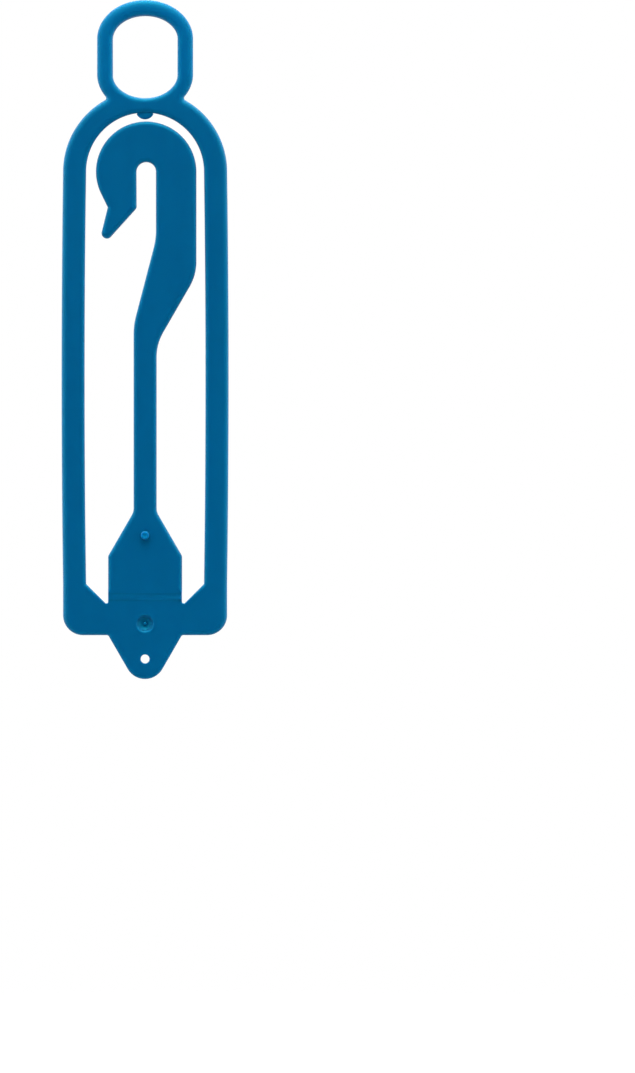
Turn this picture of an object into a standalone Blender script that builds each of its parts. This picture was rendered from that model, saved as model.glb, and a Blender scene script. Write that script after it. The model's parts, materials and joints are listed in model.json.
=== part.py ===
"""Folding hanger hook, moulded in one piece of polypropylene, with a living hinge.

Metres, +Z up. It hangs upright in the XZ plane and its front faces -Y, with the front skin at y = 0.
The origin is the suspension point: the top of the hanging loop's hole. Outlines are drawn in the XZ
plane from the hinge line, so z = 0 in an outline is where the hook leg folds.
"""

import math

import bmesh
import bpy
from mathutils import Matrix

MM = 0.001

# Thickness, from the front skin backwards.
FLANGE_T = 2.0 * MM
RIB_T = 2.2 * MM
LEG_T = 3.0 * MM
WEB_T = 0.4 * MM
GAP = 0.3 * MM
EDGE = 0.25 * MM

# Frame: an arch on two slightly bowed bars.
ARCH_Z = 119.2 * MM
FRAME_R = 23.0 * MM
BAR_W = 6.5 * MM
BAR_BOW = 0.4 * MM
FOOT_Z = 3.7 * MM
BASE_Z = -10.64 * MM
BASE_CORNER_R = 5.6 * MM
WINDOW_R = FRAME_R - BAR_W

# Hanging loop: a slot with elliptical ends and a wall of even width.
LOOP_HOLE_HALF_W = 9.1 * MM
LOOP_HOLE_END = 6.65 * MM
LOOP_WALL = 4.35 * MM
LOOP_LOW_Z = 146.5 * MM
LOOP_HIGH_Z = 156.35 * MM
SUSPENSION_Z = LOOP_HIGH_Z + LOOP_HOLE_END
HINGE_Z = -SUSPENSION_Z

# Rear ribs, with a round ejector pad wherever a pin pushed the moulding out.
RIB_W = 1.9 * MM
RIB_INSET = 1.93 * MM
LOOP_RIB_W = 2.1 * MM
BASE_RIB_W = 2.2 * MM
PAD_R = 1.55 * MM
PAD_PROUD = 0.1 * MM
LOOP_PAD_R = 1.4 * MM
LOOP_PAD_OUT = 1.72 * MM
ARCH_LEG_Z = 114.0 * MM
RIB_FRONT = FLANGE_T + GAP
RIB_BACK = FLANGE_T + RIB_T

# Hinge zone and snap.
HINGE_HALF_W = 10.33 * MM
LAND_Z = 1.1 * MM
NOTCH_IN = 10.4 * MM
NOTCH_IN_R = 0.4 * MM
NOTCH_OUT_R = 0.3 * MM
NOTCH_Z = -1.7 * MM
HINGE_SETBACK = 0.15 * MM
TAPER = math.radians(30)
TAB_TIP_R = 5.6 * MM
SNAP_Z = 17.3 * MM
SNAP_HOLE_R = 1.25 * MM
PEG_ROOT_R = 1.05 * MM
PEG_TIP_R = 0.95 * MM
PEG_LENGTH = 1.65 * MM
DISH_Z = -7.2 * MM
DISH_R = 2.35 * MM
DISH_DEPTH = 1.0 * MM

# Hook leg.
PLATE_SHOULDER_Z = 11.56 * MM
PLATE_TOP_Z = 26.0 * MM
STEM_HALF_W = 3.2 * MM
STEM_TOP_Z = 64.0 * MM
CROWN_X = 0.3 * MM
CROWN_R = 14.07 * MM
THROAT_R = 2.75 * MM
NECK_OUT_LOW_Z = 71.0 * MM
NECK_OUT_HIGH_Z = 90.3 * MM
NECK_IN_LOW_Z = 76.3 * MM
NECK_IN_HIGH_Z = 100.3 * MM
NECK_OUT_R = 14.0 * MM
NECK_IN_R = 20.0 * MM

# Keeper nub under the arch, set back from the front skin.
NUB_R = 2.66 * MM
NUB_HALF_W = 2.3 * MM
NUB_TIP_Z = 133.84 * MM
NUB_FRONT = 0.6 * MM


def clear_scene():
    for old in list(bpy.data.objects):
        bpy.data.objects.remove(old, do_unlink=True)


def new_collection(name):
    collection = bpy.data.collections.new(name)
    bpy.context.scene.collection.children.link(collection)
    return collection


def new_empty(name, y, collection):
    """A pivot on the hinge line, y behind the front skin."""
    empty = bpy.data.objects.new(name, None)
    empty.location = (0, y, HINGE_Z)
    empty.empty_display_size = 5 * MM
    collection.objects.link(empty)
    return empty


def blue_plastic(name, shade):
    """One of the close blues that the moulding shows; shade scales its brightness."""
    material = bpy.data.materials.new(name)
    material.use_nodes = True
    surface = material.node_tree.nodes["Principled BSDF"]
    surface.inputs["Base Color"].default_value = (0.001 * shade, 0.125 * shade, 0.36 * shade, 1)
    surface.inputs["Roughness"].default_value = 0.42
    surface.inputs["Metallic"].default_value = 0.0
    return material


def arc(centre, radii, start, end, steps):
    """Points of an ellipse's arc, angles in degrees from +X towards +Z."""
    points = []
    for i in range(steps + 1):
        angle = math.radians(start + (end - start) * i / steps)
        points.append((centre[0] + radii[0] * math.cos(angle), centre[1] + radii[1] * math.sin(angle)))
    return points


def rounded(corners, steps=5):
    """A closed outline from corners (x, z) or (x, z, radius); a radius turns a corner into an arc."""
    outline = []
    for i, corner in enumerate(corners):
        if len(corner) == 2:
            outline.append(corner)
            continue
        x, z, radius = corner
        before, after = corners[i - 1], corners[(i + 1) % len(corners)]
        towards_before = math.atan2(before[1] - z, before[0] - x)
        towards_after = math.atan2(after[1] - z, after[0] - x)
        turn = (towards_after - towards_before + math.pi) % (2 * math.pi) - math.pi
        middle = towards_before + turn / 2
        reach = radius / math.sin(abs(turn) / 2)
        centre = (x + reach * math.cos(middle), z + reach * math.sin(middle))
        sweep = math.copysign(math.pi - abs(turn), turn)
        for k in range(steps + 1):
            angle = middle + math.pi + sweep * (0.5 - k / steps)
            outline.append((centre[0] + radius * math.cos(angle), centre[1] + radius * math.sin(angle)))
    return outline


def mirrored(points):
    """The same points on the other side of the centre plane, in reverse order."""
    return [(-point[0], *point[1:]) for point in reversed(points)]


def drawn_mesh(name, outlines, thickness):
    """A mesh in the XZ plane from a filled 2D curve, its first outline cut by any others inside it."""
    curve = bpy.data.curves.new(name, "CURVE")
    curve.dimensions = "2D"
    curve.fill_mode = "BOTH"
    curve.extrude = thickness / 2
    for outline in outlines:
        spline = curve.splines.new("POLY")
        spline.points.add(len(outline) - 1)
        spline.use_cyclic_u = True
        for point, (x, z) in zip(spline.points, outline):
            point.co = (x, z, 0, 1)
    drawing = bpy.data.objects.new(name + "_drawing", curve)
    bpy.context.scene.collection.objects.link(drawing)
    depsgraph = bpy.context.evaluated_depsgraph_get()
    mesh = bpy.data.meshes.new_from_object(drawing.evaluated_get(depsgraph))
    bpy.data.objects.remove(drawing, do_unlink=True)
    mesh.transform(Matrix.Rotation(math.pi / 2, 4, "X"))
    flat = math.radians(0.5)
    shape = bmesh.new()
    shape.from_mesh(mesh)
    bmesh.ops.remove_doubles(shape, verts=shape.verts, dist=1e-6)
    bmesh.ops.dissolve_limit(shape, angle_limit=flat, verts=shape.verts, edges=shape.edges)
    bmesh.ops.recalc_face_normals(shape, faces=shape.faces)
    shape.to_mesh(mesh)
    shape.free()
    return mesh


def add_object(name, mesh, material, pivot, y):
    """A named sub-part on its pivot, its mesh centred on the plane y."""
    piece = bpy.data.objects.new(name, mesh)
    piece.parent = pivot
    piece.location = (0, y - pivot.location.y, 0)
    mesh.materials.clear()
    mesh.materials.append(material)
    mesh.shade_smooth()
    mesh.set_sharp_from_angle(angle=math.radians(30))
    PARTS.objects.link(piece)
    return piece


def soften(piece, width=EDGE):
    """Broken edges on both faces."""
    bevel = piece.modifiers.new("broken_edges", "BEVEL")
    bevel.width = width
    bevel.segments = 1
    bevel.limit_method = "ANGLE"
    bevel.angle_limit = math.radians(50)


def plate(name, outlines, front, back, material, pivot):
    """A flat sub-part filled between y = front and y = back."""
    mesh = drawn_mesh(name, outlines, back - front)
    return add_object(name, mesh, material, pivot, (front + back) / 2)


def cutter(name, mesh, y, z=0):
    """A helper that only cuts: wire, and not rendered."""
    helper = bpy.data.objects.new(name, mesh)
    helper.parent = FRAME_PIVOT
    helper.location = (0, y, z)
    helper.hide_render = True
    helper.display_type = "WIRE"
    CUTTERS.objects.link(helper)
    return helper


def change(piece, helper, operation):
    boolean = piece.modifiers.new(helper.name, "BOOLEAN")
    boolean.operation = operation
    boolean.solver = "EXACT"
    boolean.object = helper


def bar_edge(inset, low, high, steps=6):
    """The bowed outer edge of the right side bar, moved inwards, from the bottom up."""
    middle, half = (FOOT_Z + ARCH_Z) / 2, (ARCH_Z - FOOT_Z) / 2
    points = []
    for i in range(steps + 1):
        z = low + (high - low) * i / steps
        bow = BAR_BOW * max(0, 1 - ((z - middle) / half) ** 2)
        points.append((FRAME_R + bow - inset, z))
    return points


def loop_outline(offset, steps=14):
    """The loop's hole, moved outwards by offset."""
    radii = (LOOP_HOLE_HALF_W + offset, LOOP_HOLE_END + offset)
    top = arc((0, LOOP_HIGH_Z), radii, 0, 180, steps)
    bottom = arc((0, LOOP_LOW_Z), radii, 180, 360, steps)
    return top + bottom


def disc(radius, centre_z, steps=20, centre_x=0):
    return arc((centre_x, centre_z), (radius, radius), 0, 360 - 360 / steps, steps - 1)


def arch_band(outer_inset, inner_inset, leg_z, steps=24):
    """A band of the arch between two insets from its outer edge, with legs down to leg_z."""
    outer, inner = FRAME_R - outer_inset, FRAME_R - inner_inset
    band = arc((0, ARCH_Z), (outer, outer), 0, 180, steps)
    if leg_z < ARCH_Z:
        band += [(-outer, leg_z), (-inner, leg_z)]
    band += arc((0, ARCH_Z), (inner, inner), 180, 0, steps)
    if leg_z < ARCH_Z:
        band += [(inner, leg_z), (outer, leg_z)]
    return band


def top_arch(material):
    """The arched top of the frame. The hole of the hanging loop dips into it."""
    arch = plate("top_arch", [arch_band(0, BAR_W, ARCH_Z)], 0, FLANGE_T, material, FRAME_PIVOT)
    change(arch, LOOP_HOLE, "DIFFERENCE")
    soften(arch)


def side_bar(name, side, material):
    """A bowed side bar of even width, between the crossbar's corner and the arch."""
    low, high = FOOT_Z + GAP, ARCH_Z - GAP
    outline = bar_edge(0, low, high) + list(reversed(bar_edge(BAR_W, low, high)))
    if side < 0:
        outline = mirrored(outline)
    soften(plate(name, [outline], 0, FLANGE_T, material, FRAME_PIVOT))


def crossbar(material):
    """The bottom of the frame: round outer corners, 45 degree gussets and a relief notch at each
    end of the hinge. A shallow dish in its front holds the gate."""
    right = [
        (HINGE_HALF_W, -LAND_Z),
        (NOTCH_IN, NOTCH_Z, NOTCH_IN_R),
        (WINDOW_R - (FOOT_Z - NOTCH_Z), NOTCH_Z, NOTCH_OUT_R),
        (WINDOW_R, FOOT_Z),
        (FRAME_R, FOOT_Z),
        (FRAME_R, BASE_Z, BASE_CORNER_R),
    ]
    outline = rounded(right + mirrored(right))
    bar = plate("crossbar", [outline], 0, FLANGE_T, material, FRAME_PIVOT)
    ball_r = (DISH_R**2 + DISH_DEPTH**2) / (2 * DISH_DEPTH)
    ball = bmesh.new()
    bmesh.ops.create_uvsphere(ball, u_segments=24, v_segments=16, radius=ball_r)
    dish = bpy.data.meshes.new("gate_dish")
    ball.to_mesh(dish)
    ball.free()
    change(bar, cutter("gate_dish", dish, DISH_DEPTH - ball_r, DISH_Z), "DIFFERENCE")
    soften(bar)


def snap_tab(material):
    """The tapered tab below the crossbar, with the hole that catches the peg."""
    top = BASE_Z - GAP
    half_w = HINGE_HALF_W
    point_z = BASE_Z - half_w / math.tan(TAPER)
    outline = rounded([(-half_w, top), (0, point_z, TAB_TIP_R), (half_w, top)], 12)
    hole = disc(SNAP_HOLE_R, -SNAP_Z)
    soften(plate("snap_tab", [outline, hole], 0, FLANGE_T, material, FRAME_PIVOT))


def hanging_loop(material):
    """The loop that hangs on a rail peg or hook; its feet stand on the arch."""
    ring = [loop_outline(LOOP_WALL), loop_outline(0)]
    loop = plate("hanging_loop", ring, 0, FLANGE_T, material, FRAME_PIVOT)
    below = drawn_mesh("arch_clearance", [disc(FRAME_R + GAP, ARCH_Z, 72)], 4 * FLANGE_T)
    change(loop, cutter("arch_clearance", below, 0), "DIFFERENCE")
    soften(loop)


def keeper_nub(material):
    """The small half-disc under the arch that the crown parks against."""
    middle_z = NUB_TIP_Z + NUB_R
    spread = math.degrees(math.asin(NUB_HALF_W / NUB_R))
    ceiling_r = WINDOW_R - GAP
    reach = math.degrees(math.asin(NUB_HALF_W / ceiling_r))
    outline = arc((0, middle_z), (NUB_R, NUB_R), 270 - spread, 270 + spread, 10)
    outline += arc((0, ARCH_Z), (ceiling_r, ceiling_r), 90 - reach, 90 + reach, 4)
    plate("keeper_nub", [outline], NUB_FRONT, FLANGE_T, material, FRAME_PIVOT)


def rib(name, outlines, material, pads=(), pad_r=PAD_R):
    """A rear rib, with its ejector pads joined to it as (x, z) centres."""
    ridge = plate(name, outlines, RIB_FRONT, RIB_BACK, material, FRAME_PIVOT)
    for i, (x, z) in enumerate(pads):
        mesh = drawn_mesh("pad", [disc(pad_r, z, 16, x)], RIB_BACK - RIB_FRONT)
        pad = cutter(f"{name}_pad_{i}", mesh, (RIB_FRONT + RIB_BACK) / 2 + PAD_PROUD)
        change(ridge, pad, "UNION")
    return ridge


def rear_ribs(material):
    """The ribs that stiffen the frame from behind: arch, sides, crossbar and loop."""
    inner_inset = RIB_INSET + RIB_W
    rib_x = FRAME_R - RIB_INSET - RIB_W / 2
    spring_z = ARCH_Z + 0.4 * MM
    arch_pads = [(-rib_x, spring_z), (rib_x, spring_z)]
    band = arch_band(RIB_INSET, inner_inset, ARCH_LEG_Z)
    change(rib("arch_rib", [band], material, arch_pads), LOOP_HOLE, "DIFFERENCE")

    low, high = -4.7 * MM, ARCH_LEG_Z - GAP
    side = bar_edge(RIB_INSET, low, high) + list(reversed(bar_edge(inner_inset, low, high)))
    pads = [(rib_x + BAR_BOW, 66.4 * MM), (rib_x, 5.5 * MM)]
    rib("right_rib", [side], material, pads)
    rib("left_rib", [mirrored(side)], material, mirrored(pads))

    corner_z = low - GAP
    outer_x, inner_x = FRAME_R - RIB_INSET, FRAME_R - inner_inset
    bottom_z = BASE_Z + RIB_INSET
    top_z = bottom_z + BASE_RIB_W
    corner_r = BASE_CORNER_R - RIB_INSET
    right = [
        (inner_x, top_z, 1.3 * MM),
        (inner_x, corner_z),
        (outer_x, corner_z),
        (outer_x, bottom_z, corner_r),
    ]
    rib("crossbar_rib", [rounded(right + mirrored(right))], material)

    loop_pads = [
        (0, SUSPENSION_Z + LOOP_PAD_OUT),
        (-LOOP_HOLE_HALF_W - LOOP_PAD_OUT, LOOP_LOW_Z + 1.0 * MM),
        (LOOP_HOLE_HALF_W + LOOP_PAD_OUT, LOOP_LOW_Z + 1.0 * MM),
    ]
    outlines = [loop_outline(LOOP_RIB_W), loop_outline(0)]
    ring = rib("loop_rib", outlines, material, loop_pads, LOOP_PAD_R)
    change(ring, LOOP_HOLE, "DIFFERENCE")
    clearance = FRAME_R - RIB_INSET + GAP
    below = drawn_mesh("rib_clearance", [disc(clearance, ARCH_Z, 72)], 4 * RIB_BACK)
    change(ring, cutter("rib_clearance", below, 0), "DIFFERENCE")


def hinge_gusset(material):
    """The hourglass rib that carries load from the hinge into the crossbar's rib."""
    top = -LAND_Z
    bottom = BASE_Z + RIB_INSET + BASE_RIB_W + GAP
    waist = 1.08 * MM
    right = [
        (1.6 * MM, bottom),
        (waist, bottom + 1.2 * MM),
        (waist, top - 3.3 * MM),
        (4.4 * MM, top),
    ]
    plate("hinge_gusset", [right + mirrored(right)], RIB_FRONT, RIB_BACK, material, FRAME_PIVOT)


def living_hinge(material):
    """The web, flush with the front skin, that bends when the leg folds."""
    half_z = LAND_Z - GAP
    half_w = HINGE_HALF_W
    outline = [(-half_w, -half_z), (half_w, -half_z), (half_w, half_z), (-half_w, half_z)]
    plate("living_hinge", [outline], 0, WEB_T, material, FRAME_PIVOT)


def leg_plate(name, outlines, material):
    """A flat sub-part of the hook leg, on the fold axis."""
    piece = plate(name, outlines, 0, LEG_T, material, LEG_PIVOT)
    soften(piece)


def hook_plate(material):
    """The broad plate that folds onto the crossbar and tab."""
    half_w = HINGE_HALF_W
    neck_z = PLATE_SHOULDER_Z + (half_w - STEM_HALF_W) / math.tan(TAPER)
    right = [
        (half_w, LAND_Z),
        (half_w, PLATE_SHOULDER_Z, 1.1 * MM),
        (STEM_HALF_W, neck_z, 4 * MM),
        (STEM_HALF_W, PLATE_TOP_Z),
    ]
    leg_plate("hook_plate", [rounded(right + mirrored(right))], material)


def snap_peg(material):
    """The tapered peg on the plate's front that clicks into the tab's hole."""
    cone = bmesh.new()
    bmesh.ops.create_cone(
        cone, cap_ends=True, segments=20, radius1=PEG_ROOT_R, radius2=PEG_TIP_R, depth=PEG_LENGTH
    )
    turned = Matrix.Rotation(math.pi / 2, 4, "X")
    bmesh.ops.transform(cone, matrix=Matrix.Translation((0, 0, SNAP_Z)) @ turned, verts=cone.verts)
    mesh = bpy.data.meshes.new("snap_peg")
    cone.to_mesh(mesh)
    cone.free()
    add_object("snap_peg", mesh, material, LEG_PIVOT, -GAP - PEG_LENGTH / 2)


def hook_stem(material):
    """The slim straight stem."""
    low = PLATE_TOP_Z + GAP
    half_w = STEM_HALF_W
    outline = [(-half_w, low), (half_w, low), (half_w, STEM_TOP_Z), (-half_w, STEM_TOP_Z)]
    leg_plate("hook_stem", [outline], material)


def hook_neck(material):
    """The crank: it widens and leans right, so that the throat ends up over the stem's line."""
    low, high = STEM_TOP_Z + GAP, ARCH_Z - GAP
    outer_x, inner_x = CROWN_X + CROWN_R, CROWN_X + THROAT_R
    corners = [
        (-STEM_HALF_W, low),
        (STEM_HALF_W, low),
        (STEM_HALF_W, NECK_OUT_LOW_Z, NECK_OUT_R),
        (outer_x, NECK_OUT_HIGH_Z, NECK_OUT_R),
        (outer_x, high),
        (inner_x, high),
        (inner_x, NECK_IN_HIGH_Z, NECK_IN_R),
        (-STEM_HALF_W, NECK_IN_LOW_Z, NECK_IN_R),
    ]
    leg_plate("hook_neck", [rounded(corners)], material)


def hook_crown(material):
    """The half ring over the throat."""
    centre = (CROWN_X, ARCH_Z)
    outline = arc(centre, (CROWN_R, CROWN_R), 0, 180, 20)
    outline += arc(centre, (THROAT_R, THROAT_R), 180, 0, 10)
    leg_plate("hook_crown", [outline], material)


def hook_beak(material):
    """The free leg of the hook, ending in a beak that guides a bag's eyelet into the throat."""
    high = ARCH_Z - GAP
    start = 180 + math.degrees(math.asin(GAP / CROWN_R))
    corners = [
        (CROWN_X - THROAT_R, high),
        *arc((CROWN_X, ARCH_Z), (CROWN_R, CROWN_R), start, 205, 5),
        (CROWN_X - 10.75 * MM, 109.2 * MM, 0.5 * MM),
        (CROWN_X - 13.82 * MM, 96.71 * MM, 1.45 * MM),
        (CROWN_X - 2.7 * MM, 109.04 * MM, 1.2 * MM),
    ]
    leg_plate("hook_beak", [rounded(corners)], material)


clear_scene()
PARTS = new_collection("folding_hanger_hook")
CUTTERS = new_collection("cutters")
FRAME_PIVOT = new_empty("frame_pivot", 0, PARTS)
LEG_PIVOT = new_empty("hook_fold_axis", -HINGE_SETBACK, PARTS)
LOOP_HOLE = cutter("loop_hole", drawn_mesh("loop_hole", [loop_outline(0)], 4 * RIB_BACK), 0)

top_arch(blue_plastic("arch_blue", 1.0))
side_bar("left_side_bar", -1, blue_plastic("left_bar_blue", 0.96))
side_bar("right_side_bar", 1, blue_plastic("right_bar_blue", 0.96))
crossbar(blue_plastic("crossbar_blue", 1.0))
snap_tab(blue_plastic("tab_blue", 1.04))
hanging_loop(blue_plastic("loop_blue", 1.06))
keeper_nub(blue_plastic("nub_blue", 0.9))
rear_ribs(blue_plastic("rib_blue", 1.15))
hinge_gusset(blue_plastic("gusset_blue", 1.1))
living_hinge(blue_plastic("web_blue", 0.85))
hook_plate(blue_plastic("plate_blue", 0.98))
snap_peg(blue_plastic("peg_blue", 1.2))
hook_stem(blue_plastic("stem_blue", 0.98))
hook_neck(blue_plastic("neck_blue", 0.97))
hook_crown(blue_plastic("crown_blue", 0.99))
hook_beak(blue_plastic("beak_blue", 1.0))
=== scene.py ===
import json
import math

import bmesh
import bpy
import numpy as np
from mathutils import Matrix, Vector


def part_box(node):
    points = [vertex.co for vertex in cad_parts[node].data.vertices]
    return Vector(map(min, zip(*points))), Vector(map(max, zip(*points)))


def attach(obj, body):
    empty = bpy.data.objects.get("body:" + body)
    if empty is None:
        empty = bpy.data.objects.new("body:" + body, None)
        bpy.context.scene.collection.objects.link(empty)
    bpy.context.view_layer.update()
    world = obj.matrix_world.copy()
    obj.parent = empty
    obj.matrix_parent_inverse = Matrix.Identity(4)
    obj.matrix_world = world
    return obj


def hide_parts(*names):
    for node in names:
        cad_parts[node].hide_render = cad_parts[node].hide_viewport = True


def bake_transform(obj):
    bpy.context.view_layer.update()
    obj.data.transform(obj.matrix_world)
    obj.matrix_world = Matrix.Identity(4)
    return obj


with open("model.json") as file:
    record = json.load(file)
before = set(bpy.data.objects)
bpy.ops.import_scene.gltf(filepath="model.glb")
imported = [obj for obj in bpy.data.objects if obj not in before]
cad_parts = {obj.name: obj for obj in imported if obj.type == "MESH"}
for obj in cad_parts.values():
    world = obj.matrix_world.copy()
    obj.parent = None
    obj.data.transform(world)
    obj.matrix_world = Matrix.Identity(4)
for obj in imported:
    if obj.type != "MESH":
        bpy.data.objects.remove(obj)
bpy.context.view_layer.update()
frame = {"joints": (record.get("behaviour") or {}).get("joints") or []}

MM = 0.001


# ---------------------------------------------------------------------------------------------
# Frame moulding. One shot of blue polypropylene: an arched frame with a hanging loop on top and a
# snap tab below. Its front skin is smooth with broad round-overs, and its back carries a rib that
# runs round the frame and lines the loop's hole.

front_y = 0.0
arch_low, arch_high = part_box("top_arch")
bar_low, bar_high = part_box("left_side_bar")
crossbar_low, crossbar_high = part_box("crossbar")
loop_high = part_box("hanging_loop")[1]
rib_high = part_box("crossbar_rib")[1]
web_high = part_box("living_hinge")[1]
hinge_z = frame["joints"][0]["pos_m"][2]
arch_z = arch_low.z
frame_r = arch_high.x
window_r = -bar_high.x
bar_bow = -bar_low.x - frame_r
foot_z = crossbar_high.z
base_z = crossbar_low.z
flange_y = arch_high.y
rib_y = rib_high.y
pocket_y = flange_y - 0.3 * MM
base_corner_r = 5.6 * MM
rib_inset = frame_r - rib_high.x
rib_w = 1.9 * MM
base_rib_w = 2.2 * MM
rib_corner_r = base_corner_r - rib_inset
loop_wall = loop_high.z
hole_half_w = loop_high.x - loop_wall
hole_end = 6.65 * MM
hole_straight = 9.85 * MM
hole_high_z = -hole_end
hole_low_z = hole_high_z - hole_straight
loop_rib_w = 2.4 * MM
hinge_half_w = web_high.x
land_z = hinge_z - 1.1 * MM
notch_z = hinge_z - 1.7 * MM
notch_in, notch_in_r, notch_out_r = 10.4 * MM, 0.4 * MM, 0.3 * MM
taper = math.radians(30)
tab_tip_r = 5.6 * MM
snap_hole_r = 1.25 * MM
peg_low, peg_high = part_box("snap_peg")
peg_z = (peg_low.z + peg_high.z) / 2
snap_z = 2 * hinge_z - peg_z


def arc(centre, radii, start, end, steps):
    """Points of an ellipse's arc, angles in degrees from +X towards +Z, radii x and z."""
    angles = np.radians(np.linspace(start, end, steps + 1))
    return [(centre[0] + radii[0] * math.cos(a), centre[1] + radii[1] * math.sin(a)) for a in angles]


def rounded(corners, steps=8):
    """A closed outline from corners (x, z) or (x, z, radius); a radius turns a corner into an arc."""
    outline = []
    for i, corner in enumerate(corners):
        if len(corner) == 2:
            outline.append(corner)
            continue
        x, z, radius = corner
        before, after = corners[i - 1], corners[(i + 1) % len(corners)]
        towards_before = math.atan2(before[1] - z, before[0] - x)
        towards_after = math.atan2(after[1] - z, after[0] - x)
        turn = (towards_after - towards_before + math.pi) % (2 * math.pi) - math.pi
        middle = towards_before + turn / 2
        reach = radius / math.sin(abs(turn) / 2)
        centre = (x + reach * math.cos(middle), z + reach * math.sin(middle))
        half_sweep = math.degrees(math.copysign(math.pi - abs(turn), turn)) / 2
        facing = math.degrees(middle) + 180
        outline += arc(centre, (radius, radius), facing + half_sweep, facing - half_sweep, steps)
    return outline


def mirrored(points):
    """The same points on the other side of the centre plane, in reverse order."""
    return [(-point[0], *point[1:]) for point in reversed(points)]


def bowed_edge(inset, low, high, steps=16):
    """The right side bar's outer edge moved inwards, bottom to top: a shallow outward bow."""
    middle, half = (foot_z + arch_z) / 2, (arch_z - foot_z) / 2
    heights = np.linspace(low, high, steps + 1)
    return [(frame_r - inset + bar_bow * max(0, 1 - ((z - middle) / half) ** 2), z) for z in heights]


def loop_curve(offset, start, end, steps):
    """The loop hole's edge moved outwards: two half ellipses, angles in degrees as in arc()."""
    radii = (hole_half_w + offset, hole_end + offset)
    points = []
    for x, z in arc((0, 0), radii, start, end, steps):
        points.append((x, z + (hole_high_z if z >= 0 else hole_low_z)))
    return points


def where_loop_meets_arch(offset, radius):
    """The angle on the right of the loop's lower end at which it reaches a circle about the arch."""
    low, high = -90.0, 0.0
    for _ in range(40):
        angle = (low + high) / 2
        x, z = loop_curve(offset, angle, angle, 1)[0]
        inside = math.hypot(x, z - arch_z) < radius
        low, high = (angle, high) if inside else (low, angle)
    return (low + high) / 2


def arch_and_loop(inset, loop_offset, fillet):
    """From the right spring of the arch, over the loop, to the left spring, with filleted joints."""
    radius = frame_r - inset
    turn = where_loop_meets_arch(loop_offset + fillet, radius + fillet)
    centre = loop_curve(loop_offset + fillet, turn, turn, 1)[0]
    lean = math.degrees(math.atan2(centre[1] - arch_z, centre[0]))
    right = arc((0, arch_z), (radius, radius), 0, lean, 36)
    right += arc(centre, (fillet, fillet), lean + 180, turn + 180, 10)[1:-1]
    right += loop_curve(loop_offset, turn, 90, 44)
    return right + mirrored(right)[1:]


def evened(outline, step):
    """The same outline with its long edges divided into steps of about this length."""
    points = []
    for a, b in zip(outline, outline[1:] + outline[:1]):
        count = max(1, round(math.dist(a, b) / step))
        shares = [k / count for k in range(count)]
        points += [(a[0] + (b[0] - a[0]) * t, a[1] + (b[1] - a[1]) * t) for t in shares]
    return points


# The outer silhouette, anticlockwise from the tab's right root.
base_right = [
    (hinge_half_w, base_z, 0.7 * MM),
    (frame_r, base_z, base_corner_r),
    *bowed_edge(0, foot_z, arch_z - 1 * MM),
]
tab_point_z = base_z - hinge_half_w / math.tan(taper)
silhouette = rounded(
    base_right
    + arch_and_loop(0, loop_wall, 0.7 * MM)
    + mirrored(base_right)
    + [(0, tab_point_z, tab_tip_r)],
    14,
)
silhouette = evened(silhouette, 1 * MM)

# The rib's outer edge follows it, and its inner edge looks into the window.
rib_base_z = base_z + rib_inset
rib_right = [
    (frame_r - rib_inset, rib_base_z, rib_corner_r),
    *bowed_edge(rib_inset, foot_z, arch_z - 1 * MM),
]
rib_outside = rounded(rib_right + arch_and_loop(rib_inset, loop_rib_w, 0.75 * MM) + mirrored(rib_right), 12)
rib_outside = evened(rib_outside, 1 * MM)
rib_inner_r = frame_r - rib_inset - rib_w
rib_inner_right = [
    (rib_inner_r, rib_base_z + base_rib_w, 1.5 * MM),
    *bowed_edge(rib_inset + rib_w, foot_z, arch_z - 1 * MM),
]
# An hourglass gusset stands between the crossbar's rib and the hinge, to spread the hook leg's pull.
gusset_top_z = land_z - 0.04 * MM
gusset_waist = 1.08 * MM
gusset_right = [
    (4.4 * MM, gusset_top_z, 0.3 * MM),
    (gusset_waist, land_z - 3.3 * MM, 0.8 * MM),
    (gusset_waist, land_z - 4.1 * MM, 1.0 * MM),
    (1.9 * MM, rib_base_z + base_rib_w, 0.7 * MM),
]
rib_inside = evened(
    rounded(
        rib_inner_right
        + arc((0, arch_z), (rib_inner_r, rib_inner_r), 0, 180, 72)
        + mirrored(rib_inner_right)
        + mirrored(gusset_right)
        + gusset_right
    ),
    0.8 * MM,
)

# The window, with a relief notch beside each end of the hinge and a 45 degree gusset beyond it.
window_right = [
    (hinge_half_w, land_z),
    (notch_in, notch_z, notch_in_r),
    (window_r - (foot_z - notch_z), notch_z, notch_out_r),
    (window_r, foot_z, 0.8 * MM),
    *bowed_edge(frame_r - window_r, foot_z + 1 * MM, arch_z - 1 * MM),
]
window = rounded(window_right + arc((0, arch_z), (window_r, window_r), 0, 180, 72) + mirrored(window_right))
window = evened(window, 0.6 * MM)
loop_hole = loop_curve(0, 0, 355, 71)
snap_hole = arc((0, snap_z), (snap_hole_r, snap_hole_r), 0, 350, 35)


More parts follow.
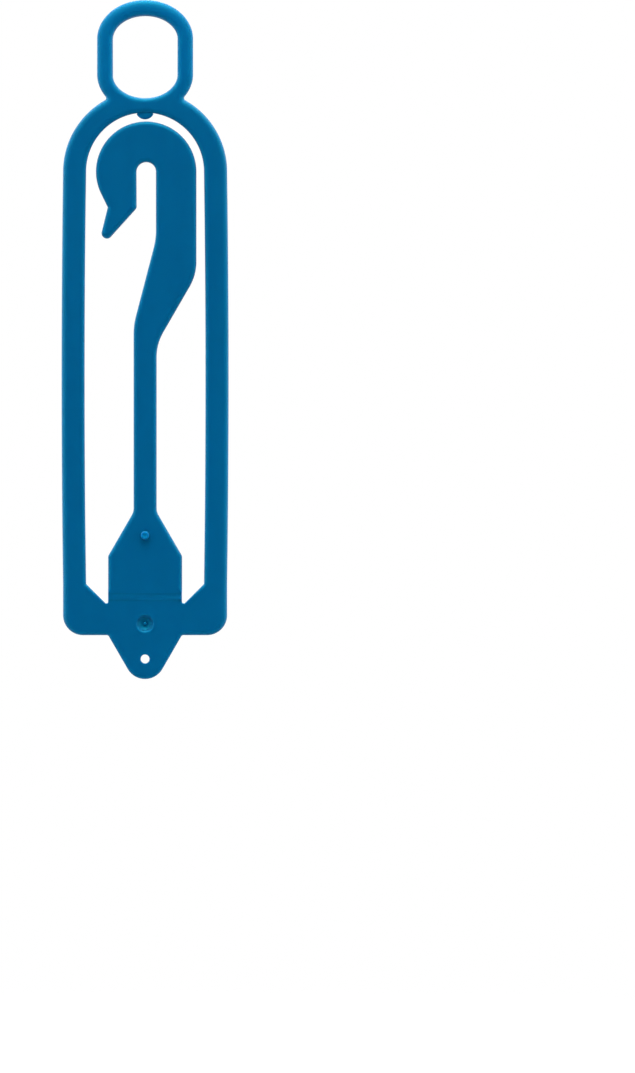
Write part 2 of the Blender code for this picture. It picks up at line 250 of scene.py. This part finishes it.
class Skin:
    """A closed skin: rings that follow outlines, strips between rings, and flat faces that end them."""

    def __init__(self):
        self.bm = bmesh.new()

    def ring(self, outline, inset, y):
        """Vertices along an outline with the plastic on its left, moved into it by inset, at depth y."""
        points = np.array(outline, float)
        ahead = np.roll(points, -1, 0) - points
        ahead /= np.linalg.norm(ahead, axis=1)[:, None]
        left = np.stack([-ahead[:, 1], ahead[:, 0]], 1)
        mitre = left + np.roll(left, 1, 0)
        mitre *= np.minimum(2 / (mitre**2).sum(1), 1.5)[:, None]
        moved = points + mitre * np.broadcast_to(inset, len(points))[:, None]
        depths = np.broadcast_to(y, len(points))
        return [self.bm.verts.new((x, depth, z)) for (x, z), depth in zip(moved, depths)]

    def strip(self, a, b):
        """Four-sided faces between two rings of the same length."""
        for i in range(len(a)):
            k = (i + 1) % len(a)
            self.bm.faces.new((a[i], a[k], b[k], b[i]))

    def chain(self, outline, steps):
        """Rings at each (inset, y) joined by strips. Returns the first and the last."""
        rings = [self.ring(outline, inset, y) for inset, y in steps]
        for a, b in zip(rings, rings[1:]):
            self.strip(a, b)
        return rings[0], rings[-1]

    def flat(self, *rings):
        """A flat face between rings, the outermost and any holes."""
        edges = []
        for ring in rings:
            for i, vert in enumerate(ring):
                edges.append(self.bm.edges.get((vert, ring[(i + 1) % len(ring)])))
        bmesh.ops.triangle_fill(self.bm, use_beauty=True, edges=edges)

    def dimple(self, centre_x, centre_z, profile, steps=48):
        """A turned feature in a flat face: rings at each (radius, y), and a point at the middle."""
        circle = arc((centre_x, centre_z), (1, 1), 0, 360 - 360 / steps, steps - 1)
        rings = []
        for radius, y in profile:
            ring = []
            for x, z in circle:
                place = (centre_x + (x - centre_x) * radius, y, centre_z + (z - centre_z) * radius)
                ring.append(self.bm.verts.new(place))
            rings.append(ring)
        for a, b in zip(rings, rings[1:]):
            self.strip(a, b)
        tip = self.bm.verts.new((centre_x, profile[-1][1], centre_z))
        for i in range(steps):
            self.bm.faces.new((rings[-1][i], rings[-1][(i + 1) % steps], tip))
        return rings[0]

    def piece(self, name, body, material, slot, *nodes):
        """The finished mesh as a piece that rides on a body and stands for its CAD nodes."""
        bmesh.ops.recalc_face_normals(self.bm, faces=self.bm.faces)
        mesh = bpy.data.meshes.new(name)
        self.bm.to_mesh(mesh)
        self.bm.free()
        made = bpy.data.objects.new(name, mesh)
        bpy.context.scene.collection.objects.link(made)
        mesh.materials.append(material)
        mesh.shade_smooth()
        mesh.set_sharp_from_angle(angle=math.radians(38))
        if body:
            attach(made, body)
        if nodes:
            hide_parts(*nodes)
        return made


def round_over(width, depth, y, back=False, steps=8, guard=0.08 * MM):
    """Steps of a quarter ellipse from a flat face at y to the wall, with a guard ring on the flat.
    A front edge turns towards +Y and a back edge towards -Y."""
    side = -1 if back else 1
    made = [(width + np.minimum(guard, width), y)]
    for k in range(steps + 1):
        angle = math.pi / 2 * k / steps
        made.append((width * (1 - math.sin(angle)), y + side * depth * (1 - math.cos(angle))))
    return made[::-1] if back else made


def root_fillet(radius, y, steps=5):
    """Steps from a floor at y up into the foot of a rib that rises towards +Y."""
    made = [(-1.3 * radius, y)]
    for k in range(steps + 1):
        angle = math.pi / 2 * k / steps
        made.append((-radius * (1 - math.sin(angle)), y + radius * (1 - math.cos(angle))))
    return made


def ease(value, low, high):
    """0 below low, 1 above high and smooth between, on numbers or arrays."""
    t = np.clip((np.asarray(value) - low) / (high - low), 0, 1)
    return t * t * (3 - 2 * t)


class Sock:
    """A shader socket that can be written in sums. Values go through Math nodes."""

    def __init__(self, tree, socket=None):
        self.tree, self.socket = tree, socket

    def node(self, kind, settings=None, output=0, **inputs):
        """A node of this type with its settings, its sockets given as values or links."""
        made = self.tree.nodes.new(kind)
        for name, value in (settings or {}).items():
            setattr(made, name, value)
        for name, value in inputs.items():
            place = made.inputs[int(name[1:]) if name[1:].isdigit() else name.replace("_", " ")]
            if isinstance(value, Sock):
                self.tree.links.new(value.socket, place)
            else:
                place.default_value = value
        return Sock(self.tree, made.outputs[output])

    def math(self, operation, other=0.0, swap=False):
        """One Math node on this value and another; swap puts the other one first."""
        pair = (other, self) if swap else (self, other)
        return self.node("ShaderNodeMath", {"operation": operation}, i0=pair[0], i1=pair[1])

    def __add__(self, other):
        return self.math("ADD", other)

    __radd__ = __add__

    def __sub__(self, other):
        return self.math("SUBTRACT", other)

    def __rsub__(self, other):
        return self.math("SUBTRACT", other, swap=True)

    def __mul__(self, other):
        return self.math("MULTIPLY", other)

    __rmul__ = __mul__

    def ranged(self, low, high, at_low, at_high, smooth=False):
        """This value mapped from low..high to at_low..at_high, and held at both ends."""
        settings = {"interpolation_type": "SMOOTHSTEP" if smooth else "LINEAR"}
        return self.node("ShaderNodeMapRange", settings, i0=self, i1=low, i2=high, i3=at_low, i4=at_high)

    def axis(self, name):
        """One of the X, Y and Z parts of a vector."""
        return self.node("ShaderNodeSeparateXYZ", output=name, i0=self)

    def feed(self, shader, name):
        """Link this to a named socket of a shader."""
        self.tree.links.new(self.socket, shader.inputs[name])

    def mix(self, low, high):
        """A colour between two colours, by this value."""
        settings = {"data_type": "RGBA"}
        return self.node("ShaderNodeMix", settings, output=2, i0=self, i6=low, i7=high)


def moulded_blue(name, deep, light, sheen, gloss=0.7):
    """Satin blue polypropylene: cloudy pigment, long flow marks, the fine grain of the mould, and a paler
    colour painted on thin parts as a painted glow.
    """
    material = bpy.data.materials.new(name)
    material.use_nodes = True
    tree = material.node_tree
    surface = tree.nodes["Principled BSDF"]
    place = Sock(tree).node("ShaderNodeTexCoord", output="Object")
    cloud = place.node("ShaderNodeTexNoise", Vector=place, Scale=38.0, Detail=4.0, Roughness=0.55)
    along = place.node("ShaderNodeMapping", Vector=place, Scale=(260.0, 260.0, 34.0))
    flow = place.node("ShaderNodeTexNoise", Vector=along, Scale=1.0, Detail=3.0, Roughness=0.6)
    grain = place.node("ShaderNodeTexNoise", Vector=place, Scale=5200.0, Detail=2.0, Roughness=0.5)
    shade = cloud * 0.65 + flow * 0.35
    pigment = shade.mix((*deep, 1), (*light, 1))

    # Rib crests, the loop and the peg are thin and light comes through them; their base colour is painted
    # paler here as a painted glow for that light.
    crest_from_y, crest_full_y = 3.3 * MM, 4.0 * MM
    loop_from_z, loop_full_z, loop_share = -28 * MM, -16 * MM, 0.45
    peg_from_y, peg_full_y = -0.3 * MM, -1.2 * MM
    more_green, more_blue = 1.45, 1.38
    crest = place.axis("Y").ranged(crest_from_y, crest_full_y, 0.0, 1.0)
    loop = place.axis("Z").ranged(loop_from_z, loop_full_z, 0.0, loop_share)
    peg = place.axis("Y").ranged(peg_from_y, peg_full_y, 0.0, 1.0)
    painted_glow = crest.math("MAXIMUM", loop).math("MAXIMUM", peg)
    painted_glow_colour = (0, light[1] * more_green, light[2] * more_blue, 1)
    painted_glow.mix(pigment, painted_glow_colour).feed(surface, "Base Color")
    (flow * 0.12 + grain * 0.06 + sheen).feed(surface, "Roughness")
    bump = place.node("ShaderNodeBump", Height=grain + flow * 2.0, Strength=0.12, Distance=0.02 * MM)
    bump.feed(surface, "Normal")

    # Light enters the plastic and comes out again a millimetre or so away, red least of all.
    surface.subsurface_method = "RANDOM_WALK"
    surface.inputs["Subsurface Weight"].default_value = 1.0
    surface.inputs["Subsurface Radius"].default_value = (0.3, 0.8, 1.0)
    surface.inputs["Subsurface Scale"].default_value = 1.6 * MM
    surface.inputs["IOR"].default_value = 1.49
    surface.inputs["Specular IOR Level"].default_value = gloss
    surface.inputs["Specular Tint"].default_value = (0.0, 0.86, 1.0, 1)
    return material


frame_plastic = moulded_blue("frame_plastic", (0.0, 0.048, 0.146), (0.0, 0.059, 0.176), 0.34)

# The silhouette's round-overs are broad on the frame, broader on the loop and slim on the tab.
skin = Skin()
heights = np.array(silhouette)[:, 1]
broad = ease(heights, base_z - 2 * MM, base_z + 3 * MM)
on_loop = ease(heights, hole_low_z - 8 * MM, hole_low_z - 3 * MM)
front_w = (1.0 + 0.75 * broad + 0.7 * on_loop) * MM
front_h = (0.6 + 0.55 * broad) * MM
back_w = (1.1 + 0.5 * broad) * MM
back_h = (0.4 + 0.4 * broad) * MM
outer_front, outer_back = skin.chain(
    silhouette,
    round_over(front_w, front_h, front_y, steps=12) + round_over(back_w, back_h, flange_y, back=True),
)

# The window's edge is left square along the hinge, where the web carries the front skin on, and is
# rounded over front and back everywhere else.
window = window[::-1]
places = np.array(window)
on_land = (np.abs(places[:, 0]) < hinge_half_w + 0.02 * MM) & (places[:, 1] < hinge_z - 1.0 * MM)
broad = ease(places[:, 1], notch_z, foot_z + 3 * MM)
edge_w = np.where(on_land, 0, (0.35 + 1.05 * broad) * MM)
edge_h = np.where(on_land, 0, (0.3 + 0.5 * broad) * MM)
back_w = np.where(on_land, 0, (0.25 + 1.35 * broad) * MM)
back_h = np.where(on_land, 0, (0.25 + 0.6 * broad) * MM)
window_front, window_back = skin.chain(
    window, round_over(edge_w, edge_h, front_y) + round_over(back_w, back_h, pocket_y, back=True)
)

# The loop's hole runs straight back through the rib that lines it.
loop_hole = loop_hole[::-1]
lining_w = (0.4 + 0.6 * ease(np.array(loop_hole)[:, 1], hole_low_z - 5 * MM, hole_low_z - 1 * MM)) * MM
hole_front, hole_back = skin.chain(
    loop_hole,
    round_over(1.5 * MM, 1.0 * MM, front_y)
    + round_over(lining_w, 0.6 * MM, rib_y, back=True, guard=0.04 * MM),
)
snap_front, snap_back = skin.chain(
    snap_hole[::-1],
    round_over(0.2 * MM, 0.2 * MM, front_y, steps=4)
    + round_over(0.15 * MM, 0.15 * MM, flange_y, back=True, steps=4),
)

# The rib: a small root fillet, walls with draft, and a rounded crest.
draft = 0.1 * MM


def rib_side(outline, floor_y, root, dome_w, dome_h):
    """Both edges of a rib wall: its foot on the floor, and its top after a domed crest."""
    crest = round_over(dome_w, dome_h, rib_y, back=True, guard=0.03 * MM, steps=10)
    return skin.chain(outline, root_fillet(root, floor_y) + [(draft + inset, y) for inset, y in crest])


on_loop = ease(np.array(rib_outside)[:, 1], hole_low_z - 8 * MM, hole_low_z - 3 * MM)
rib_out_foot, rib_out_top = rib_side(
    rib_outside, flange_y, 0.25 * MM, (0.78 + 0.3 * on_loop) * MM, (0.7 + 0.15 * on_loop) * MM
)
rib_inside = rib_inside[::-1]
places = np.array(rib_inside)
on_gusset = (np.abs(places[:, 0]) < 4.5 * MM) & (places[:, 1] < hinge_z)
up_gusset = ease(places[:, 1], rib_base_z + base_rib_w, land_z - 3.9 * MM) * on_gusset
at_top = ease(places[:, 1], land_z - 0.7 * MM, land_z - 0.2 * MM) * on_gusset
root = (0.3 - 0.29 * at_top) * MM
rib_in_foot, rib_in_top = rib_side(
    rib_inside, pocket_y, root, (0.78 - 0.42 * up_gusset) * MM, (0.7 - 0.4 * up_gusset) * MM
)

# The gate dish: a shallow cup with a soft lip and the nipped-off gate standing in it, drawn as
# (radius, depth) from the flat inwards.
dish_z = hinge_z - 7.35 * MM
dish_r, dish_depth = 2.35 * MM, 1.25 * MM
dish_roundness = 2.6
lip_h = 0.06 * MM
gate_foot_r, gate_r, gate_tip_r = 0.42 * MM, 0.36 * MM, 0.2 * MM
dish = [
    (dish_r + 1.0 * MM, 0.0),
    (dish_r + 0.9 * MM, 0.0),
    (dish_r + 0.55 * MM, -0.05 * MM),
    (dish_r + 0.3 * MM, -lip_h),
    (dish_r + 0.12 * MM, 0.0),
]
for k in range(10):
    share = 1 - k / 12
    dish.append((dish_r * share, dish_depth * (1 - share**dish_roundness) + lip_h))
dish += [(gate_foot_r, dish_depth), (gate_r, 0.62 * MM), (gate_tip_r, 0.5 * MM)]
dish_front = skin.dimple(0, dish_z, dish)

skin.flat(outer_front, window_front, hole_front, snap_front, dish_front)
skin.flat(outer_back, rib_out_foot, snap_back)
skin.flat(rib_in_foot, window_back)
skin.flat(rib_out_top, rib_in_top, hole_back)
skin.piece(
    "frame_moulding",
    "frame",
    frame_plastic,
    "frame_blue",
    "top_arch",
    "left_side_bar",
    "right_side_bar",
    "crossbar",
    "snap_tab",
    "hanging_loop",
    "arch_rib",
    "left_rib",
    "right_rib",
    "crossbar_rib",
    "loop_rib",
    "hinge_gusset",
)


# ---------------------------------------------------------------------------------------------
# Ejector pads. Round lands on the rib where the mould's pins pushed the part out: three down each
# side of the frame and three on the loop, each a hair proud, with a shallow mark left by its pin.

pad_r = 1.5 * MM
pad_proud = 0.07 * MM
side_x = frame_r - rib_inset - rib_w / 2
loop_pad_r = 1.4 * MM
loop_mid = loop_pad_r + 0.32 * MM
loop_pad_z = hole_low_z + 1.0 * MM
upper_pad_z = arch_z + 0.4 * MM
middle_pad_z = hinge_z + 66.4 * MM
lower_pad_z = hinge_z + 5.5 * MM
pad_places = {
    "top": (0, loop_mid),
    "loop_left": (-hole_half_w - loop_mid, loop_pad_z),
    "loop_right": (hole_half_w + loop_mid, loop_pad_z),
    "upper_left": (-side_x, upper_pad_z),
    "upper_right": (side_x, upper_pad_z),
    "middle_left": (-side_x - bar_bow, middle_pad_z),
    "middle_right": (side_x + bar_bow, middle_pad_z),
    "lower_left": (-side_x, lower_pad_z),
    "lower_right": (side_x, lower_pad_z),
}
# A hair paler than the frame's blue, though it is the same plastic: a painted highlight on the pads.
pad_plastic_painted_paler = moulded_blue("pad_plastic_painted_paler", (0.0, 0.050, 0.150), (0.0, 0.061, 0.179), 0.34)
for spot, (x, z) in pad_places.items():
    skin = Skin()
    radius = loop_pad_r if z > arch_z + frame_r else pad_r
    circle = arc((x, z), (radius, radius), 0, 350, 35)
    wall = [(0, pocket_y - 0.2 * MM), (0, rib_y - 0.4 * MM)]
    lip = round_over(0.55 * MM, 0.4 * MM, rib_y + pad_proud, back=True, steps=8)
    foot, top = skin.chain(circle, wall + lip)
    turned = [(0.66 * MM, pad_proud), (0.6 * MM, 0.04 * MM), (0.2 * MM, 0.04 * MM)]
    mark = skin.dimple(x, z, [(mark_r, rib_y + y) for mark_r, y in turned])
    skin.flat(top, mark)
    skin.flat(foot)
    skin.piece(f"ejector_pad_{spot}", "frame", pad_plastic_painted_paler, "rib_blue")


# ---------------------------------------------------------------------------------------------
# Keeper nub. A round-ended lug under the middle of the arch, moulded with it and set back from the
# front skin. The crown of the stowed hook leg parks just below it.

nub_r = 2.66 * MM
nub_tip_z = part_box("keeper_nub")[0].z
nub_front, nub_back = 0.6 * MM, pocket_y - 0.3 * MM
nub_spread = 62
nub_root_x, nub_root_z = 1.9 * MM, nub_tip_z + 2.6 * MM
nub = arc((0, nub_tip_z + nub_r), (nub_r, nub_r), 270 - nub_spread, 270 + nub_spread, 24)
nub += [(nub_root_x, nub_root_z), (-nub_root_x, nub_root_z)]
skin = Skin()
nub_near, nub_far = skin.chain(
    nub,
    round_over(0.25 * MM, 0.25 * MM, nub_front, steps=5)
    + round_over(0.4 * MM, 0.3 * MM, nub_back, back=True, steps=6),
)
skin.flat(nub_near)
skin.flat(nub_far)
skin.piece("arch_nub", "frame", frame_plastic, "frame_blue", "keeper_nub")


# ---------------------------------------------------------------------------------------------
# Hook leg. The swinging half of the moulding: a broad hinge plate that tapers to a slim stem, a
# cranked neck, a crown over the throat, and a beak. Flat front and back with slim round-overs.

plate_low, plate_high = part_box("hook_plate")
stem_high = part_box("hook_stem")[1]
crown_low, crown_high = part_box("hook_crown")
plate_low_z = plate_low.z
leg_back_y = plate_high.y
stem_half_w = stem_high.x
crown_x = (crown_low.x + crown_high.x) / 2
crown_r = (crown_high.x - crown_low.x) / 2
throat_r = 2.75 * MM
shoulder_z = hinge_z + 11.56 * MM
stem_root_z = shoulder_z + (hinge_half_w - stem_half_w) / math.tan(taper)
neck_out_r, neck_in_r = 14 * MM, 20 * MM

leg_right = [
    (hinge_half_w, plate_low_z),
    (hinge_half_w, shoulder_z, 1.5 * MM),
    (stem_half_w, stem_root_z, 4 * MM),
    (stem_half_w, hinge_z + 71.0 * MM, neck_out_r),
    (crown_x + crown_r, hinge_z + 90.3 * MM, neck_out_r),
    *arc((crown_x, arch_z), (crown_r, crown_r), 0, 205, 80),
]
beak = [
    (crown_x - 10.75 * MM, hinge_z + 109.2 * MM, 0.5 * MM),
    (crown_x - 13.82 * MM, hinge_z + 96.71 * MM, 1.45 * MM),
    (crown_x - 2.7 * MM, hinge_z + 109.04 * MM, 1.4 * MM),
]
leg_left = [
    *arc((crown_x, arch_z), (throat_r, throat_r), 180, 0, 36),
    (crown_x + throat_r, hinge_z + 100.3 * MM, neck_in_r),
    (-stem_half_w, hinge_z + 76.3 * MM, neck_in_r),
    (-stem_half_w, stem_root_z, 4 * MM),
    (-hinge_half_w, shoulder_z, 1.5 * MM),
    (-hinge_half_w, plate_low_z),
]
leg = evened(rounded(leg_right + beak + leg_left, 12), 0.8 * MM)
# The frame's blue, a hair darker in its light tone: painted shade on the hook leg and its peg.
shaded_hook_plastic = moulded_blue("shaded_hook_plastic", (0.0, 0.048, 0.146), (0.0, 0.059, 0.175), 0.34)
places = np.array(leg)
off_hinge = ease(places[:, 1], plate_low_z + 0.05 * MM, plate_low_z + 1.6 * MM)
at_hinge = places[:, 1] < plate_low_z + 0.01 * MM
edge_w = 1.25 * MM * off_hinge
edge_h = 0.75 * MM * off_hinge
slope_w = np.where(at_hinge, 0.9 * MM, 0.5 * MM)
slope_h = np.where(at_hinge, leg_back_y - web_high.y, 0.4 * MM)
skin = Skin()
leg_front, leg_back = skin.chain(
    leg, round_over(edge_w, edge_h, front_y) + round_over(slope_w, slope_h, leg_back_y, back=True)
)

# Ejector pins left five shallow round marks along the back. Places are millimetres from the hinge.
pin_marks = []
rim_y, floor_y = leg_back_y, leg_back_y - 0.08 * MM
for x, z in ((0, 7.5), (0, 33.0), (0, 58.0), (8.3, 97.0), (0.3, 127.5)):
    turned = [(1.6, rim_y), (1.5, rim_y), (1.45, floor_y), (1.2, floor_y), (0.3, floor_y)]
    turned = [(radius * MM, y) for radius, y in turned]
    pin_marks.append(skin.dimple(x * MM, hinge_z + z * MM, turned, 36))
skin.flat(leg_front)
skin.flat(leg_back, *pin_marks)
skin.piece(
    "hook_leg_moulding",
    "hook_leg",
    shaded_hook_plastic,
    "hook_blue",
    "hook_plate",
    "hook_stem",
    "hook_neck",
    "hook_crown",
    "hook_beak",
)


# ---------------------------------------------------------------------------------------------
# Snap peg. A tapered peg moulded on the hook plate, with a low flared foot and a cupped end, which
# clicks into the tab's hole when the leg is folded out.

skin = Skin()
# Radius and height in millimetres, from inside the plate out to the bottom of the cup.
profile = [
    (1.26, 0.3),
    (1.28, 0.0),
    (1.2, -0.05),
    (1.16, -0.14),
    (1.14, -0.28),
    (1.14, -0.7),
    (1.12, -1.55),
    (1.06, -1.72),
    (0.94, -1.84),
    (0.78, -1.88),
    (0.62, -1.86),
    (0.46, -1.77),
    (0.2, -1.72),
]
profile = [(radius * MM, y * MM) for radius, y in profile]
base_ring = skin.dimple(0, peg_z, profile)
skin.flat(base_ring)
skin.piece("cupped_peg", "hook_leg", shaded_hook_plastic, "hook_blue", "snap_peg")


# ---------------------------------------------------------------------------------------------
# Living hinge. A thin flexible web, flush with the front skin, between the crossbar and the hook
# plate. On the real part it is the only part that bends, and it turns back on itself when the leg
# folds out; here it is built flat and rides on no body.

web_t = web_high.y
# Darker than the frame's blue though it is the same plastic: painted shade that keeps the hinge fold dark.
shaded_web_plastic = moulded_blue("shaded_web_plastic", (0.0, 0.043, 0.124), (0.0, 0.051, 0.146), 0.40, gloss=0.55)
groove_depth, ramp_h, edge_round = 0.02 * MM, 0.4 * MM, 0.08 * MM
columns = [-hinge_half_w + edge_round, -8 * MM, *np.linspace(-5.4, -4.2, 7) * MM]
columns = np.array(columns + [0] + [-x for x in reversed(columns)])
skin = Skin()
rows = []
for z in np.linspace(land_z, plate_low_z, 33):
    lift = z - hinge_z
    groove = groove_depth * ease(-abs(lift - 0.1 * MM), -1.0 * MM, -0.1 * MM)
    ramp = ramp_h * (1 - ease(lift, -1.1 * MM, -0.2 * MM)) * ease(np.abs(columns), 4.3 * MM, 5.2 * MM)
    back = web_t + ramp
    section = [(x, groove, z) for x in columns] + [(hinge_half_w, groove + edge_round, z)]
    section += [(hinge_half_w, back[-1] - edge_round, z)]
    section += [(x, y, z) for x, y in zip(columns[::-1], back[::-1])]
    section += [(-hinge_half_w, back[0] - edge_round, z), (-hinge_half_w, groove + edge_round, z)]
    rows.append([skin.bm.verts.new(point) for point in section])
for a, b in zip(rows, rows[1:]):
    skin.strip(a, b)
skin.bm.faces.new(rows[0])
skin.bm.faces.new(rows[-1])
web = skin.piece("hinge_web", None, shaded_web_plastic, "web_blue", "living_hinge")
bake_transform(web)


# ---------------------------------------------------------------------------------------------
# Stage. A plain pale floor under the hanging part, which fades out to white, and soft light from a
# tent that is brightest at the sides, with a softbox high in front and another high behind.

floor_r, fade_from, fade_to = 0.6, 0.1, 0.55
floor_z = hinge_z - 150 * MM
bpy.ops.mesh.primitive_circle_add(vertices=96, radius=floor_r, fill_type="NGON", location=(0, 0, floor_z))
floor = bpy.context.object
floor.name = "floor"
floor_paint = bpy.data.materials.new("floor_paint")
floor_paint.use_nodes = True
tree = floor_paint.node_tree
base = tree.nodes["Principled BSDF"]
base.inputs["Base Color"].default_value = (0.32, 0.32, 0.32, 1)
base.inputs["Roughness"].default_value = 0.7
base.inputs["Specular IOR Level"].default_value = 0.1
place = Sock(tree).node("ShaderNodeTexCoord", output="Object")
from_middle = place.node("ShaderNodeVectorMath", {"operation": "LENGTH"}, output="Value", i0=place)
from_middle.ranged(fade_from, fade_to, 1.0, 0.0, smooth=True).feed(base, "Alpha")
floor.data.materials.append(floor_paint)

world = bpy.data.worlds.new("tent")
bpy.context.scene.world = world
world.use_nodes = True
sky = world.node_tree
background = sky.nodes["Background"]
towards = Sock(sky).node("ShaderNodeTexCoord", output="Generated")
depth, up = towards.axis("Y"), towards.axis("Z")
facing = depth * depth
side_light, end_light, top_light = 3.1, 0.15, 0.2
ring = facing.ranged(0.02, 0.95, side_light, end_light)
ceiling = up.ranged(0.55, 0.95, 0.0, top_light, smooth=True)
tent = ring * (up * 0.75 + 0.9) + ceiling

# Seen directly, the backdrop is plain white.
seen = Sock(sky).node("ShaderNodeLightPath", output="Is Camera Ray")
(seen + (1 - seen) * tent).feed(background, "Strength")
background.inputs["Color"].default_value = (1, 1, 1, 1)


def softbox(name, place, size, power):
    """A square diffused lamp that faces the middle of the part."""
    lamp = bpy.data.lights.new(name, "AREA")
    lamp.shape, lamp.size, lamp.energy = "SQUARE", size, power
    stand = bpy.data.objects.new(name, lamp)
    stand.location = place
    aim = Vector((0, 0, hinge_z / 2)) - Vector(place)
    stand.rotation_euler = aim.to_track_quat("-Z", "Y").to_euler()
    bpy.context.scene.collection.objects.link(stand)


box_size, box_power = 0.45, 4.6
softbox("front_top_box", (0, -0.5, 0.75), box_size, box_power)
softbox("back_top_box", (0, 0.5, 0.75), box_size, box_power)

scene = bpy.context.scene
scene.view_settings.view_transform = "Standard"
scene.view_settings.look = "None"

# The camera looks straight back through a long lens, and stands to the right of the part.
field_h = 0.3004
camera_x, camera_z = 0.0483, hinge_z + 17.0 * MM
lens = bpy.data.cameras.new("camera")
lens.lens, lens.sensor_width, lens.sensor_fit = 200, 36, "AUTO"
camera = bpy.data.objects.new("camera", lens)
camera.location = (camera_x, -field_h / lens.sensor_width * lens.lens, camera_z)
camera.rotation_euler = (math.pi / 2, 0, 0)
lens.clip_start, lens.clip_end = 0.01, 50
scene.collection.objects.link(camera)
scene.camera = camera
